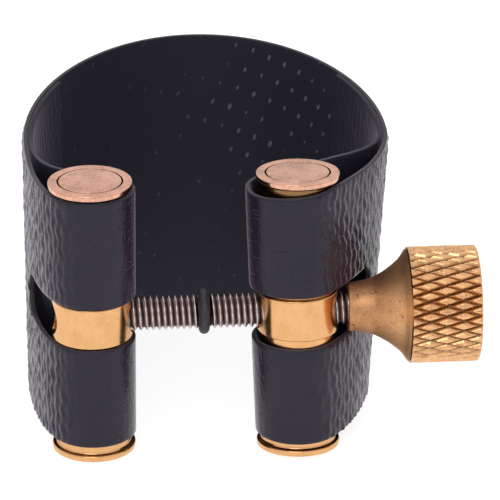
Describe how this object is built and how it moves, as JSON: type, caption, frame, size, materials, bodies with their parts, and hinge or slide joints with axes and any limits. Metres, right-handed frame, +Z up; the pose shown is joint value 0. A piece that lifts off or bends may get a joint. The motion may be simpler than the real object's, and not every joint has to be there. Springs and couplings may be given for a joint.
{
  "type": "saxophone ligature",
  "caption": "Leather strap ring that a knurled thumb screw closes between two turned posts, to clamp a reed on a mouthpiece.",
  "frame": {"origin": "middle of the footprint's bounding box, on the surface it stands on", "axes": "+Z up along the ring's axis, +X towards the thumb screw's knob, +Y from the posts to the back of the ring"},
  "size_m": [0.037, 0.0322, 0.0263],
  "materials": {
    "leather": "embossed weave, satin",
    "post_brass": "turned and polished",
    "knob_brass": "raw turned brass, diamond knurled grip",
    "screw_steel": "machined thread",
    "rubber": "matte"
  },
  "bodies": {
    "right_side": {"strap_right": "leather"},
    "left_side": {"strap_left": "leather"},
    "right_pillar": {"right_post_core": "post_brass", "right_upper_sleeve": "post_brass", "right_lower_sleeve": "post_brass"},
    "left_pillar": {"left_post_core": "post_brass", "left_upper_sleeve": "post_brass", "left_lower_sleeve": "post_brass"},
    "thumb_screw": {"screw": "screw_steel", "knob": "knob_brass", "o_ring": "rubber"}
  },
  "joints": [
    {"name": "strap_flex", "type": "hinge", "parent": "right_side", "child": "left_side", "pos_m": [-0.00483, 0.01591, 0.01209], "axis": [0, 0, 1], "range_deg": [-4.3, 8.5]},
    {"name": "right_post_swivel", "type": "hinge", "parent": "right_side", "child": "right_pillar", "pos_m": [0.00366, -0.01129, 0.01209], "axis": [0, 0.0645, 0.9979], "range_deg": [-2.2, 4.3]},
    {"name": "left_post_swivel", "type": "hinge", "parent": "left_side", "child": "left_pillar", "pos_m": [-0.01333, -0.01129, 0.01209], "axis": [0, 0, -1], "range_deg": [-2.2, 4.3]},
    {"name": "screw_turn", "type": "hinge", "parent": "right_pillar", "child": "thumb_screw", "pos_m": [-0.00413, -0.01129, 0.01209], "axis": [-1, 0, 0], "range_deg": [-1440, 2880]}
  ],
  "couplings": [
    {"joint": "strap_flex", "follows": "screw_turn", "ratio": 0.002895},
    {"joint": "right_post_swivel", "follows": "screw_turn", "ratio": 0.0014475},
    {"joint": "left_post_swivel", "follows": "screw_turn", "ratio": 0.0014475}
  ]
}
